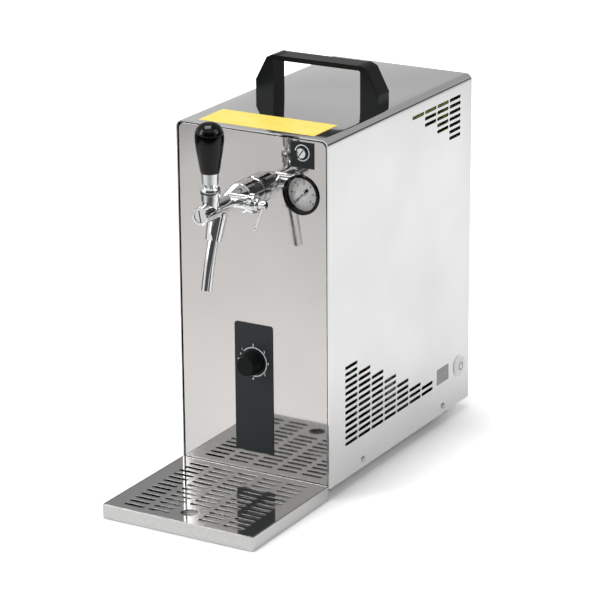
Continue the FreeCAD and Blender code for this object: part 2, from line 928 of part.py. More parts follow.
def tap_collar():
    start = panel_recess
    end = collar_length
    bore = shank_radius + running_gap
    cavity = spigot_radius + loose_gap
    seat = collar_length - spigot_length - seat_gap
    groove = collar_radius - collar_groove_depth
    groove_end = collar_groove_rise + collar_groove_width
    collar = turned(tap_point(0), X, Y * -1, (bore, -start), (collar_rear_radius, -start),
                    (collar_rear_radius, collar_step), (collar_radius, collar_step + 1),
                    (collar_radius, collar_groove_rise), (groove, collar_groove_rise),
                    (groove, groove_end), (collar_radius, groove_end),
                    (collar_radius, end - 0.8), (collar_radius - 0.8, end),
                    (cavity, end), (cavity, seat), (bore, seat))
    notch_y = front_y - collar_notch_rise
    reach = collar_notch_length / 2
    notch = box(-collar_notch_width / 2, collar_notch_width / 2, notch_y - reach, notch_y + reach,
                tap_z + collar_radius - collar_notch_depth, tap_z + 2 * collar_radius)
    for i in range(collar_notches):
        collar = collar.cut(notch.rotated(tap_point(0), Y, 45 + i * 360 / collar_notches))
    save("tap_collar", collar)


def socket_axis():
    """Bottom centre of the spout socket and the direction of its axis, up into the tap."""
    tilt = math.radians(socket_tilt)
    bottom = tap_point(socket_from_front, 0, -socket_drop)
    return bottom, Vector(0, math.sin(tilt), math.cos(tilt))


def tap_body():
    out = Y * -1
    rear = collar_length - spigot_length
    cone_start = collar_length + seat_gap
    cone_end = collar_length + cone_length
    body = turned(tap_point(0), X, out, (0, rear), (spigot_radius, rear), (spigot_radius, cone_start),
                  (cone_start_radius, cone_start), (barrel_radius, cone_end),
                  (barrel_radius, barrel_end), (0, barrel_end))
    lever_axis = tap_point(lever_from_front)
    turret = rod(turret_neck_radius, lever_axis, lever_axis + Z * turret_top)
    turret = turret.fuse(rod(turret_radius, lever_axis + Z * turret_shoulder, lever_axis + Z * turret_top))
    bottom, up = socket_axis()
    socket = Part.makeCone(socket_bottom_radius, socket_top_radius, socket_length, bottom, up)
    boss_start = tap_point(compensator_from_front, 0, compensator_rise)
    boss = rod(compensator_boss_radius, boss_start, boss_start + X * compensator_boss_reach)
    body = body.fuse(turret).fuse(socket).fuse(boss)
    reach = socket_bottom_radius * 2
    flat_y = bottom.y - (socket_bottom_radius - socket_flat_depth)
    flat = box(-reach, reach, flat_y - reach, flat_y, bottom.z - reach, bottom.z + socket_flat_height)
    body = body.cut(flat.rotated(bottom, X, -socket_tilt * 0.5))
    ball_room = lever_ball_radius + running_gap
    ball_seat = Vector(0, lever_y, ball_seat_z)
    slot_x = finger_slot_width / 2
    slot_y = finger_slot_length / 2
    spindle_room = compensator_spindle_radius + running_gap
    spindle_end = boss_start + X * (compensator_spindle_inner - 1)
    cutters = [rod(tap_bore_radius, tap_point(rear), tap_point(valve_seat_start)),
               rod(valve_seat_radius, tap_point(rear), tap_point(barrel_end)),
               rod(tap_bore_radius, tap_point(valve_seat_end), tap_point(barrel_end)),
               rod(ball_room, ball_seat, ball_seat + Z * turret_top),
               Part.makeSphere(ball_room, Vector(0, lever_y, pivot_z)),
               box(-slot_x, slot_x, lever_y - slot_y, lever_y + slot_y, tap_z, ball_seat_z),
               rod(spout_radius + running_gap, bottom, bottom + up * socket_bore_depth),
               rod(spout_bore_radius, bottom, bottom + up * (socket_length + 1)),
               rod(spindle_room, spindle_end, spindle_end + X * compensator_boss_reach)]
    save("tap_body", body.cut(Part.makeCompound(cutters)))


def turret_nut():
    base = lever_pivot_rise - turret_top
    top = turret_nut_height - base
    axis = Vector(0, lever_y, pivot_z)
    bore = lever_ball_radius + running_gap
    crest = turret_nut_radius - turret_nut_chamfer * 0.7
    nut = turned(axis, X, Z, (bore, -base), (turret_nut_radius, -base),
                 (turret_nut_radius, top - turret_nut_chamfer), (crest, top), (turret_mouth_radius, top),
                 (turret_lip_radius, turret_lip_rise), (bore, turret_lip_rise))
    save("turret_nut", nut.cut(Part.makeSphere(bore, axis)))


def tap_front():
    out = Y * -1
    edge = 1.2
    start = barrel_end
    end = barrel_end + front_cap_length
    bore = plug_radius + seat_gap
    cap = turned(tap_point(0), X, out, (bore, start), (front_cap_radius, start),
                 (front_cap_radius, end - edge), (front_cap_radius - edge, end), (bore, end))
    save("tap_front_cap", cap)
    plug_end = end - plug_setback
    plug_start = stem_front + loose_gap
    root = tap_bore_radius - running_gap
    plug = turned(tap_point(0), X, out, (0, plug_start), (root, plug_start), (root, start),
                  (plug_radius, start), (plug_radius, plug_end), (0, plug_end))
    cut = box(-plug_radius, plug_radius, front_y - plug_end, front_y - plug_end + plug_slot_depth,
              tap_z - plug_slot_width / 2, tap_z + plug_slot_width / 2)
    save("tap_front_plug", plug.cut(cut.rotated(tap_point(0), Y, plug_slot_angle)))


def valve():
    out = Y * -1
    guide = tap_bore_radius - running_gap
    seal_front = valve_seat_start - loose_gap
    stem = turned(tap_point(0), X, out, (0, seal_front), (stem_rod_radius, seal_front),
                  (stem_rod_radius, stem_rear), (guide, stem_rear + 1), (guide, stem_front - 1),
                  (guide - 1, stem_front), (0, stem_front))
    slot_x = stem_slot_width / 2
    slot_y = stem_slot_length / 2
    cut = box(-slot_x, slot_x, lever_y - slot_y, lever_y + slot_y,
              tap_z - tap_bore_radius / 2, tap_z + 2 * tap_bore_radius)
    save("valve_stem", stem.cut(cut))
    seal_rear = seal_front - seal_length
    save("valve_seal", turned(tap_point(0), X, out, (0, seal_rear), (seal_radius * 0.8, seal_rear),
                              (seal_radius, seal_front - seal_length / 2), (seal_radius, seal_front),
                              (0, seal_front)))


def lever():
    pivot = Vector(0, lever_y, pivot_z)
    tip = pivot - Z * lever_finger_length
    knob_bottom = pivot + Z * (ferrule_rise + ferrule_height)
    shaft_top = knob_bottom + Z * lever_shaft_in_knob
    shaft = Part.makeSphere(lever_ball_radius, pivot)
    shaft = shaft.fuse(rod(lever_shaft_radius, pivot, shaft_top)).fuse(rod(lever_finger_radius, tip, pivot))
    save("lever_shaft", shaft.fuse(Part.makeSphere(lever_tip_radius, tip)))
    bore = lever_shaft_radius + running_gap
    low = ferrule_rise
    high = ferrule_rise + ferrule_height
    save("lever_ferrule", turned(pivot, X, Z, (bore, low), (ferrule_bottom_radius, low),
                                 (ferrule_top_radius, high), (bore, high)))
    r = lever_knob_radius
    top = high + lever_knob_height
    equator = top - r
    blind = high + lever_shaft_in_knob + loose_gap
    dome = ((r * math.sqrt(0.5), equator + r * math.sqrt(0.5)), (0, top))
    save("lever_knob", turned(pivot, X, Z, (bore, high), (lever_knob_bottom_radius, high), (r, equator),
                              dome, (0, blind), (bore, blind)))


def spout():
    bottom, up = socket_axis()
    down = up * -1
    start = bottom + up * (socket_bore_depth - seat_gap)
    first = bottom + down * spout_first_straight
    turn = math.radians(socket_tilt - spout_end_tilt)
    radius = spout_bend_length / turn
    corner = first + down * (radius * math.tan(turn / 2))
    end_tilt = math.radians(spout_end_tilt)
    last = Vector(0, -math.sin(end_tilt), -math.cos(end_tilt))
    end = corner + last * (radius * math.tan(turn / 2) + spout_last_straight)
    save("spout_tube", pipe(spout_radius, radius, [start, corner, end], spout_bore_radius))


def compensator():
    centre = tap_point(compensator_from_front, 0, compensator_rise)
    bore = compensator_spindle_radius + running_gap
    start = compensator_boss_reach
    shoulder = start + compensator_nut_neck
    end = shoulder + compensator_nut_length
    r = compensator_nut_radius
    neck = compensator_boss_radius + compensator_edge
    face = end - compensator_face_setback
    f = compensator_face_radius
    e = compensator_edge
    nut = turned(centre, Z, X, (bore, start), (neck, start), (neck, shoulder), (r - e, shoulder),
                 (r, shoulder + e), (r, face - e), (r - e, face), (f, face), (f, end - e),
                 (f - e, end), (bore, end))
    save("compensator_nut", nut)
    hub_start = end + loose_gap
    hub_end = hub_start + compensator_hub_length
    spindle_end = centre + X * compensator_spindle_inner
    spindle = rod(compensator_spindle_radius, spindle_end, centre + X * hub_start)
    h = compensator_hub_radius
    hub = turned(centre, Z, X, (0, hub_start), (h, hub_start), (h, hub_end - e), (h - e, hub_end),
                 (0, hub_end))
    angle = math.radians(compensator_pin_angle)
    direction = Vector(0, -math.cos(angle), -math.sin(angle))
    pin_root = centre + X * ((hub_start + hub_end) / 2)
    t = compensator_pin_tip_radius
    length = compensator_pin_length
    tip = ((t * math.sqrt(0.5), length + t * math.sqrt(0.5)), (0, length + t))
    pin = turned(pin_root, X, direction, (0, 0), (compensator_pin_root_radius, 0), (t, length), tip)
    save("compensator_lever", spindle.fuse(hub).fuse(pin))


# Drip tray

def rounded_slab(x0, x1, y0, y1, z0, z1, radius):
    slab = box(x0, x1, y0, y1, z0, z1)
    uprights = [edge for edge in slab.Edges if edge.BoundBox.ZLength > 0.5 * (z1 - z0)]
    return slab.makeFillet(radius, uprights)


def drip_tray():
    y0 = front_y - tray_reach
    y1 = front_y - loose_gap
    w = tray_wall
    tray = rounded_slab(-half_width, half_width, y0, y1, 0, tray_height, tray_corner_radius)
    inside = rounded_slab(w - half_width, half_width - w, y0 + w, y1 - w, w, 2 * tray_height,
                          tray_corner_radius - w / 2)
    save("drip_tray", tray.cut(inside))


def drip_grid():
    gap = tray_wall + grid_gap
    x1 = half_width - gap
    y0 = front_y - tray_reach + gap
    y1 = front_y - loose_gap - gap
    z1 = tray_height
    z0 = z1 - grid_thickness
    grid = rounded_slab(-x1, x1, y0, y1, z0, z1, tray_corner_radius - tray_wall / 2)
    foot = tray_wall + seat_gap
    for side in (-1, 1):
        left, right = sorted((side * x1, side * (x1 - grid_flange)))
        grid = grid.fuse(box(left, right, y0 + 2 * gap, y1 - 2 * gap, foot, z0 + grid_thickness / 2))
    frame = (Vector(0, 0, z0 - grid_thickness), X, Y)
    depth = Z * (3 * grid_thickness)
    cutters = []
    middle = (grid_columns - 1) / 2
    first_y = front_y - tray_reach + grid_front_margin
    for column in range(grid_columns):
        for row in range(grid_rows):
            if column == middle and row < finger_hole_rows:
                continue
            centre = ((column - middle) * grid_pitch_across, first_y + row * grid_pitch_along)
            cutters.append(slot(frame, depth, centre, grid_slot_length, grid_slot_width))
    hole = Vector(0, first_y + (finger_hole_rows - 1) / 2 * grid_pitch_along, z0 - grid_thickness)
    cutters.append(rod(finger_hole_radius, hole, hole + depth))
    save("drip_grid", grid.cut(Part.makeCompound(cutters)))


# Power button

def button_centre():
    return Vector(half_width, rear_y - button_from_rear, base_z + button_rise)


def power_button():
    centre = button_centre()
    floor = -button_tube_depth
    inner = floor + button_tube_floor
    top = button_bezel_height
    bezel = turned(centre, Z, X, (0, floor), (button_tube_radius, floor), (button_tube_radius, 0),
                   (button_bezel_radius, 0), (button_bezel_radius, top - 1), (button_bezel_radius - 1, top),
                   (button_bore_radius, top), (button_bore_radius, inner), (0, inner))
    save("power_button_bezel", bezel)
    r = button_radius
    face = button_proud
    rim = r - button_edge
    crown = (cap_middle(rim, face - button_crown, face), (0, face))
    save("power_button", turned(centre, Z, X, (0, face - button_length), (r, face - button_length),
                                (r, face - button_crown - button_edge), (rim, face - button_crown), crown))


# Rear fittings

def fitting_tail(place):
    return place - Y * (sheet + fitting_tail_length)


def rear_fittings():
    nut_end = beer_inlet + Y * inlet_nut_height
    thread_end = nut_end + Y * inlet_thread_length
    stub_end = thread_end + Y * inlet_stub_length
    tail = fitting_tail(beer_inlet)
    body = hexagon(inlet_nut_radius, beer_inlet, nut_end).fuse(rod(inlet_thread_radius, nut_end, thread_end))
    body = body.fuse(rod(inlet_stub_radius, thread_end, stub_end))
    body = body.fuse(rod(fitting_tail_radius, tail, beer_inlet))
    save("beer_inlet", body.cut(rod(inlet_bore_radius, tail, stub_end)))
    body_end = air_outlet + Y * air_outlet_body_length
    tip = body_end + Y * air_outlet_tip_length
    body = rod(air_outlet_body_radius, air_outlet, body_end).fuse(rod(air_outlet_tip_radius, body_end, tip))
    save("air_outlet", body.fuse(rod(fitting_tail_radius, fitting_tail(air_outlet), air_outlet)))
    end = gland + Y * gland_length
    tail = fitting_tail(gland)
    body = hexagon(gland_radius, gland, gland + Y * (gland_length * 0.4))
    body = body.fuse(rod(gland_radius * 0.9, gland, end)).fuse(rod(fitting_tail_radius, tail, gland))
    save("cable_gland", body.cut(rod(gland_bore_radius, tail, end)))


# Cooling block

def insulation_box():
    y0 = front_y + shelf_from_front
    z0 = floor_z + grommet_height + compressor_height + compressor_headroom
    half = half_width - insulation_side_gap
    return -half, half, y0, y0 + insulation_depth, z0, top_z - insulation_top_gap


def block_front_y():
    return front_y + shelf_from_front + insulation_wall


def cooling_block():
    x0, x1, y0, y1, z0, z1 = insulation_box()
    w = insulation_wall
    save("cooling_block", box(x0 + w, x1 - w, y0 + w, y1 - w, z0 + w, z1 - w))
    room = box(x0 + w, x1 - w, y0 + w, y1 - w, z0 + w, z1 - w)
    shank_hole = rod(shank_radius + seat_gap, Vector(0, y0, tap_z), Vector(0, y0 + w, tap_z))
    line_start = Vector(beer_inlet.x, y1 - w, beer_inlet.z)
    line_hole = rod(beer_line_radius + seat_gap, line_start, line_start + Y * w)
    for node, a, b in (("insulation_left", x0, 0), ("insulation_right", 0, x1)):
        half = box(a, b, y0, y1, z0, z1).cut(room)
        save(node, half.cut(shank_hole).cut(line_hole))
    save("beer_line", rod(beer_line_radius, line_start, fitting_tail(beer_inlet)))


def shelf():
    x0, x1, y0, y1, z0, z1 = insulation_box()
    plate = box(x0, x1, y0, y1, z0 - sheet, z0)
    for y in (y0, y1 - shelf_leg_width):
        plate = plate.fuse(box(x0, x0 + sheet, y, y + shelf_leg_width, floor_z, z0))
        plate = plate.fuse(box(x1 - sheet, x1, y, y + shelf_leg_width, floor_z, z0))
    save("shelf", plate)


# Compressor

def compressor():
    foot_z = floor_z + grommet_height
    centre = Vector(compressor_x, front_y + compressor_from_front, foot_z)
    r = compressor_radius
    t = compressor_foot_thickness
    h = compressor_height
    d = compressor_dome
    seam = h / 2
    s = compressor_seam_height / 2
    side = compressor_foot_side / 2
    body = turned(centre, X, Z, (0, t), (cap_middle(r, t + d, t), (r, t + d)),
                  (r, seam - s), (compressor_seam_radius, seam - s), (compressor_seam_radius, seam + s),
                  (r, seam + s), (r, h - d), (cap_middle(r, h - d, h), (0, h)))
    foot = box(centre.x - side, centre.x + side, centre.y - side, centre.y + side, foot_z, foot_z + t)
    pedestal = rod(r * 0.6, centre, centre + Z * (t + d * 0.3))
    body = body.fuse(pedestal).fuse(foot)
    corners = []
    seat = side - grommet_radius
    for sx in (-1, 1):
        for sy in (-1, 1):
            corners.append(Vector(centre.x + sx * seat, centre.y + sy * seat, floor_z))
    save("compressor", body)
    save("compressor_grommets", *[rod(grommet_radius, p, p + Z * grommet_height) for p in corners])
    refrigerant_lines(body, centre, foot_z + h * 0.7)


def refrigerant_lines(body, centre, z):
    """Suction line from the block, discharge line to the condenser, thin line back to the block."""
    x0, x1, y0, y1, z0, z1 = insulation_box()
    r = refrigerant_pipe_radius
    bend = 4 * r
    reach = compressor_radius * 0.65
    wall = centre.y + math.sqrt(compressor_radius ** 2 - reach ** 2) - r * 0.4
    riser = centre.y + compressor_seam_radius + 3 * r
    inlet = z0 + insulation_wall * 2
    core_y = front_y + condenser_from_front + condenser_depth / 2
    core_z = base_z + condenser_bottom
    low = floor_z + 8 * r
    left = centre.x - reach
    right = centre.x + reach
    suction = [Vector(left, wall, z), Vector(left, riser, z), Vector(left, riser, inlet),
               Vector(left, y1, inlet)]
    discharge = [Vector(right, wall, z), Vector(right, riser, z), Vector(right, riser, low),
                 Vector(right, core_y, low), Vector(right, core_y, core_z)]
    side = x0 + 6 * r
    back = [Vector(side, core_y, core_z), Vector(side, core_y, low), Vector(side, riser, low),
            Vector(side, riser, inlet), Vector(side, y1, inlet)]
    save("refrigerant_lines", pipe(r, bend, suction).cut(body), pipe(r, bend, discharge).cut(body),
         pipe(capillary_radius, bend, back))


# Condenser and fan

def condenser():
    half = condenser_half
    y0 = front_y + condenser_from_front
    y1 = y0 + condenser_depth
    z0 = base_z + condenser_bottom
    z1 = z0 + condenser_height
    middle = (y0 + y1) / 2
    body = box(-half, half, middle - condenser_core / 2, middle + condenser_core / 2, z0, z1)
    pitch = (2 * half - sheet) / (fin_count - 1)
    for i in range(1, fin_count - 1):
        x = -half + i * pitch
        body = body.fuse(box(x, x + fin_thickness, y0, y1, z0, z1))
    for x in (-half, half - sheet):
        body = body.fuse(box(x, x + sheet, y0, y1, floor_z, z1))
    save("condenser", body)


def fan_centre():
    shroud_y = front_y + condenser_from_front - fan_shroud_thickness
    return Vector(0, shroud_y, base_z + condenser_bottom + condenser_height / 2)


def fan():
    centre = fan_centre()
    ring = fan_radius + fan_tip_gap
    half = condenser_half
    z0 = base_z + condenser_bottom
    plate = box(-half, half, centre.y, centre.y + fan_shroud_thickness, z0, z0 + condenser_height)
    ring_front = centre - Y * fan_ring_depth
    ring_back = centre + Y * fan_shroud_thickness
    plate = plate.fuse(rod(ring + fan_ring_wall, ring_front, ring_back)).cut(rod(ring, ring_front, ring_back))
    save("fan_shroud", plate)
    hub_front = centre - Y * (fan_hub_length + loose_gap)
    hub_back = hub_front + Y * fan_hub_length
    rotor = rod(fan_hub_radius, hub_front, hub_back)
    frame_length = fan_hub_length * 0.8
    for i in range(fan_blades):
        sections = []
        for radius, pitch in ((fan_hub_radius * 0.9, fan_blade_pitch * 1.3), (fan_radius, fan_blade_pitch)):
            chord = radius * 0.75
            run = min(frame_length / 2, chord * math.sin(math.radians(pitch)) / 2)
            spread = chord * math.cos(math.radians(pitch)) / 2
            mid = (hub_front + hub_back) * 0.5 + Z * math.sqrt(radius ** 2 - spread ** 2)
            half_thick = Y * (fan_blade_thickness / 2)
            lead = mid - X * spread - Y * run
            trail = mid + X * spread + Y * run
            corners = [lead - half_thick, trail - half_thick, trail + half_thick, lead + half_thick]
            sections.append(Part.makePolygon(corners + corners[:1]))
        blade = Part.makeLoft(sections, True, True)
        rotor = rotor.fuse(blade.rotated(centre, Y, i * 360 / fan_blades))
    motor_back = hub_front - Y * loose_gap
    motor_front = motor_back - Y * fan_motor_length
    shaft_start = motor_front + Y * (fan_motor_length * 0.3)
    rotor = rotor.fuse(rod(fan_shaft_radius, shaft_start, hub_front))
    save("fan_rotor", rotor)
    motor = rod(fan_motor_radius, motor_front, motor_back)
    save("fan_motor", motor.cut(rod(fan_shaft_radius + running_gap, shaft_start - Y * loose_gap, motor_back)))
    x = motor_bracket_width / 2
    leg = box(-x, x, motor_front.y - sheet, motor_front.y, floor_z, motor_front.z + fan_motor_radius * 0.6)
    foot = box(-x, x, motor_front.y, motor_front.y + motor_bracket_width / 2, floor_z, floor_z + sheet)
    save("fan_motor_bracket", leg.fuse(foot))


# Air pump and its hoses

def air_pump():
    pump_x = half_width - pump_from_side
    y0 = front_y + pump_from_front
    y1 = y0 + pump_head_depth
    half = pump_head_side / 2
    head_bottom = floor_z + pump_foot_height
    head_top = head_bottom + pump_head_side
    centre = Vector(pump_x, y1, head_bottom + half)
    head = box(pump_x - half, pump_x + half, y0, y1, head_bottom, head_top)
    motor = rod(pump_motor_radius, centre, centre + Y * pump_motor_length)
    foot = box(pump_x - half, pump_x + half, y0, y1, floor_z, head_bottom)
    save("air_pump", head.fuse(motor).fuse(foot))
    top = Vector(pump_x, (y0 + y1) / 2, head_top)
    x = gauge_x + manifold_width / 2 + barb_length + seat_gap + air_hose_radius
    y = manifold_front() + manifold_depth / 2
    high = adjuster_z - manifold_width / 2
    bend = 2.5 * air_hose_radius
    knee = head_top + 2 * bend
    rise = [top, Vector(pump_x, top.y, knee), Vector(x, y, knee + bend), Vector(x, y, gauge_z)]
    end = fitting_tail(air_outlet)
    turn_y = end.y - 2 * bend
    run = [Vector(x, y, high), Vector(x, turn_y, high), Vector(end.x, turn_y, end.z), end]
    save("air_hoses", pipe(air_hose_radius, bend, rise), pipe(air_hose_radius, bend, run))


outer_shell()
front_panel()
base_plate()
rear_panel()
cabinet_screws()
feet()
carry_handle()
labels()
thermostat()
adjuster()
gauge()
air_manifold()
tap_shank()
tap_collar()
tap_body()
turret_nut()
tap_front()
valve()
lever()
spout()
compensator()
drip_tray()
drip_grid()
power_button()
rear_fittings()
cooling_block()
shelf()
compressor()
condenser()
fan()
air_pump()
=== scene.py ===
import json
import math

import bpy
import bmesh
import numpy as np
from mathutils import Matrix, Vector


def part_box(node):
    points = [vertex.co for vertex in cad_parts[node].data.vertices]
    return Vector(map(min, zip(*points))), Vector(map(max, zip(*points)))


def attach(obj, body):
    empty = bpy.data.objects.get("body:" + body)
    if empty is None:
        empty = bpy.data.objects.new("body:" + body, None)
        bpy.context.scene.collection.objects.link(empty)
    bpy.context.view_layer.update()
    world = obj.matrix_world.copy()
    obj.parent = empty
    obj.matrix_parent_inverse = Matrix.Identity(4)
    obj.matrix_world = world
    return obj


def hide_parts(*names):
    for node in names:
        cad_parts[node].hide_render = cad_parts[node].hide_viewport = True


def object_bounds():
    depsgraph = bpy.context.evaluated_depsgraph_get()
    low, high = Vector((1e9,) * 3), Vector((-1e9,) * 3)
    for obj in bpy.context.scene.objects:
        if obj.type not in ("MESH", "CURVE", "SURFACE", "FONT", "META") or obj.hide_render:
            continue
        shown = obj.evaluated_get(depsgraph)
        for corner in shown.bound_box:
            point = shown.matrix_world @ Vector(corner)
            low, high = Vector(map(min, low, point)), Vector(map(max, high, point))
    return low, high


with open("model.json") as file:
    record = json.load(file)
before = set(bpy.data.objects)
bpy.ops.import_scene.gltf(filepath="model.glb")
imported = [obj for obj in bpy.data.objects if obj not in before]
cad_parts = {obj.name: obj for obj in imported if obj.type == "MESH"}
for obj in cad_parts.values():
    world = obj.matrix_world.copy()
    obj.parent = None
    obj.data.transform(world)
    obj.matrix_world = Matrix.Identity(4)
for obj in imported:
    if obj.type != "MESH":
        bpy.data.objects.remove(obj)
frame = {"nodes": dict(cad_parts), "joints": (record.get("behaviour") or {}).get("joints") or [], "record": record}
nodes = frame["nodes"]
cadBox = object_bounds()
bodyOf = {}
for bodyName, members in frame["record"]["behaviour"]["bodies"].items():
    for member in members:
        bodyOf[member] = bodyName
slotOf = {row["node"]: row["material_slot"] for row in frame["record"]["subparts"]}
mm = 0.001
print("frame loaded:", len(nodes), "nodes")


# Shader helper

class Value:
    # a number socket; sums, products and powers of it add Math nodes
    def __init__(self, look, socket):
        self.look = look
        self.socket = socket

    def math(self, operation, *others):
        sockets = dict(enumerate((self,) + others))
        return self.look.add("ShaderNodeMath", {"operation": operation}, sockets)[0]

    def __add__(self, other):
        return self.math("ADD", other)

    def __mul__(self, other):
        return self.math("MULTIPLY", other)

    def __sub__(self, other):
        return self.math("SUBTRACT", other)

    def __rsub__(self, other):
        return self * -1 + other

    def __pow__(self, other):
        return self.math("POWER", other)

    __radd__ = __add__
    __rmul__ = __mul__

    def clamped(self):
        return self.math("MAXIMUM", 0.0).math("MINIMUM", 1.0)

    def beyond(self, low, high):
        # how far the number lies outside low to high
        return (self - high).math("MAXIMUM", 0.0) + (low - self).math("MAXIMUM", 0.0)

    def step(self, low, high):
        # 0 below low, 1 above high, straight between
        return ((self - low) * (1 / (high - low))).clamped()


class Tree:
    # a node tree; add() is the one method that makes a node, sets it up and fills its sockets
    def __init__(self, tree):
        self.tree = tree

    def put(self, socket, value):
        if isinstance(value, Value):
            value = value.socket
        if isinstance(value, bpy.types.NodeSocket):
            self.tree.links.new(value, socket)
        elif isinstance(value, str):
            socket.default_value = (*linear(value), 1.0)
        else:
            socket.default_value = value

    def add(self, kind, settings, sockets):
        node = self.tree.nodes.new(kind)
        for key, value in settings.items():
            if key == "stops":
                ramp = node.color_ramp
                while len(ramp.elements) < len(value):
                    ramp.elements.new(0.5)
                for element, (position, colour) in zip(ramp.elements, value):
                    element.position = position
                    element.color = (*linear(colour), 1.0)
            else:
                setattr(node, key, value)
        for key, value in sockets.items():
            self.put(node.inputs[key], value)
        return Outputs(self, node)


class Look(Tree):
    # one material: its shader, its Object coordinates, and the patterns that the finishes share
    def __init__(self, name, **sockets):
        self.material = bpy.data.materials.new(name)
        self.material.use_nodes = True
        super().__init__(self.material.node_tree)
        self.shader = self.tree.nodes["Principled BSDF"]
        self.place = self.add("ShaderNodeTexCoord", {}, {})["Object"]
        self.set(**sockets)

    def stretched(self, scale, turn=(0, 0, 0)):
        sockets = {"Vector": self.place, "Scale": scale, "Rotation": turn}
        return self.add("ShaderNodeMapping", {}, sockets)["Vector"]

    def noise(self, vector, scale, detail=2.0, roughness=0.5):
        sockets = {"Vector": vector, "Scale": scale, "Detail": detail, "Roughness": roughness}
        return self.add("ShaderNodeTexNoise", {}, sockets)["Fac"]

    def blend(self, factor, first, second):
        sockets = {0: factor, 6: first, 7: second}
        return self.add("ShaderNodeMix", {"data_type": "RGBA"}, sockets)[2].socket

    def set(self, **sockets):
        for key, value in sockets.items():
            self.put(self.shader.inputs[key.replace("_", " ")], value)
        return self

    def bump(self, height, strength, distance):
        sockets = {"Height": height, "Strength": strength, "Distance": distance}
        normal = self.add("ShaderNodeBump", {}, sockets)
        self.put(self.shader.inputs["Normal"], normal["Normal"])
        return self


class Outputs:
    # the outputs of a node, each as a Value
    def __init__(self, look, node):
        self.look = look
        self.node = node

    def __getitem__(self, key):
        return Value(self.look, self.node.outputs[key])


def linear(code):
    # hex code to the linear numbers that shader sockets hold
    channels = []
    for i in (1, 3, 5):
        v = int(code[i:i + 2], 16) / 255
        channels.append(v / 12.92 if v <= 0.04045 else ((v + 0.055) / 1.055) ** 2.4)
    return channels


def shade(code, factor):
    # a hex code made darker or lighter
    return "#" + "".join("%02x" % round(min(255, int(code[i:i + 2], 16) * factor)) for i in (1, 3, 5))


# Materials

polish = {"sheet": "#e6e6e6", "panel": "#cdcac8", "chrome": "#e2e3e4"}


def polishedSheet(name, colour, roughness, wave):
    # mirror sheet: faint waviness of rolled steel, hairlines in the gloss
    look = Look(name, Metallic=1.0)
    cloud = look.noise(look.place, 9.0, 2.0)
    hair = look.noise(look.stretched((40, 900, 40)), 6.0, 3.0)
    tint = look.blend(cloud.step(0.35, 0.7) * 0.5, colour, shade(colour, 0.94))
    look.set(Base_Color=tint, Roughness=hair * 0.05 + roughness)
    return look.bump(look.noise(look.place, 14.0, 1.0) + hair * 0.004, wave, 0.0008)


def brushedSheet(name, colour, roughness, scale, spread=0.16):
    # sheet with a grain: scale stretches it along the brushing, spread is how far the gloss varies
    look = Look(name, Metallic=1.0)
    grain = look.noise(look.stretched(scale), 5.0, 4.0, 0.6)
    smudge = look.noise(look.place, 22.0, 3.0)
    tint = look.blend(grain.step(0.3, 0.7) * 0.6, colour, shade(colour, 0.86))
    look.set(Base_Color=tint, Roughness=grain * spread + smudge * 0.04 + roughness)
    return look.bump(grain, spread * 0.7, 0.0002)


def plated(name, colour, roughness):
    # chrome plate: slight orange peel and a little dust in the gloss
    look = Look(name, Metallic=1.0)
    peel = look.noise(look.place, 260.0, 2.0)
    dust = look.noise(look.place, 1400.0, 1.0)
    tint = look.blend(peel.step(0.3, 0.7) * 0.4, colour, shade(colour, 0.93))
    look.set(Base_Color=tint, Roughness=dust * 0.03 + roughness)
    return look.bump(peel, 0.05, 0.0002)


def moulded(name, colour, roughness, grainSize, depth, coat=0.0, gloss=0.5):
    # moulded or painted piece: fine grain of the given depth, and flow marks in the gloss
    look = Look(name, Coat_Weight=coat, Coat_Roughness=0.05, Specular_IOR_Level=gloss)
    grain = look.noise(look.place, grainSize, 3.0, 0.6)
    flow = look.noise(look.place, 30.0, 2.0)
    tint = look.blend(grain.step(0.3, 0.75) * 0.7, colour, shade(colour, 1.18))
    look.set(Base_Color=tint, Roughness=flow * 0.1 + grain * 0.08 + roughness)
    return look.bump(grain, depth, 0.0003)


def printedFilm(name, colour, other, roughness):
    # film with fibres and blotches between two colours
    look = Look(name)
    fibre = look.noise(look.stretched((60, 420, 60)), 8.0, 3.0)
    blotch = look.noise(look.place, 55.0, 3.0)
    tint = look.blend((fibre * 0.5 + blotch * 0.5).step(0.35, 0.7), colour, other)
    look.set(Base_Color=tint, Roughness=fibre * 0.12 + roughness)
    return look.bump(fibre, 0.06, 0.0002)


def foam():
    # rigid foam with small cells
    look = Look("rigid_foam")
    cells = look.add("ShaderNodeTexVoronoi", {}, {"Vector": look.place, "Scale": 900.0})["Distance"]
    tint = look.blend(cells.step(0.1, 0.7), "#f0eee4", "#d9d5c6")
    look.set(Base_Color=tint, Roughness=cells * 0.2 + 0.6)
    return look.bump(cells, 0.4, 0.0006)


def clearTube():
    # yellow hose that lets some light through
    look = Look("hose_film", Transmission_Weight=0.35, Coat_Weight=0.4)
    ridge = look.noise(look.place, 300.0, 2.0)
    tint = look.blend(ridge.step(0.3, 0.7), "#dbe56a", "#c2cf46")
    look.set(Base_Color=tint, Roughness=ridge * 0.1 + 0.18)
    return look.bump(ridge, 0.1, 0.0002)


def castMetal(name, colour, roughness):
    # metal with the grain of a sand mould
    look = Look(name, Metallic=0.9)
    sand = look.noise(look.place, 700.0, 4.0, 0.6)
    tint = look.blend(sand.step(0.3, 0.7), colour, shade(colour, 0.8))
    look.set(Base_Color=tint, Roughness=sand * 0.2 + roughness)
    return look.bump(sand, 0.35, 0.0004)


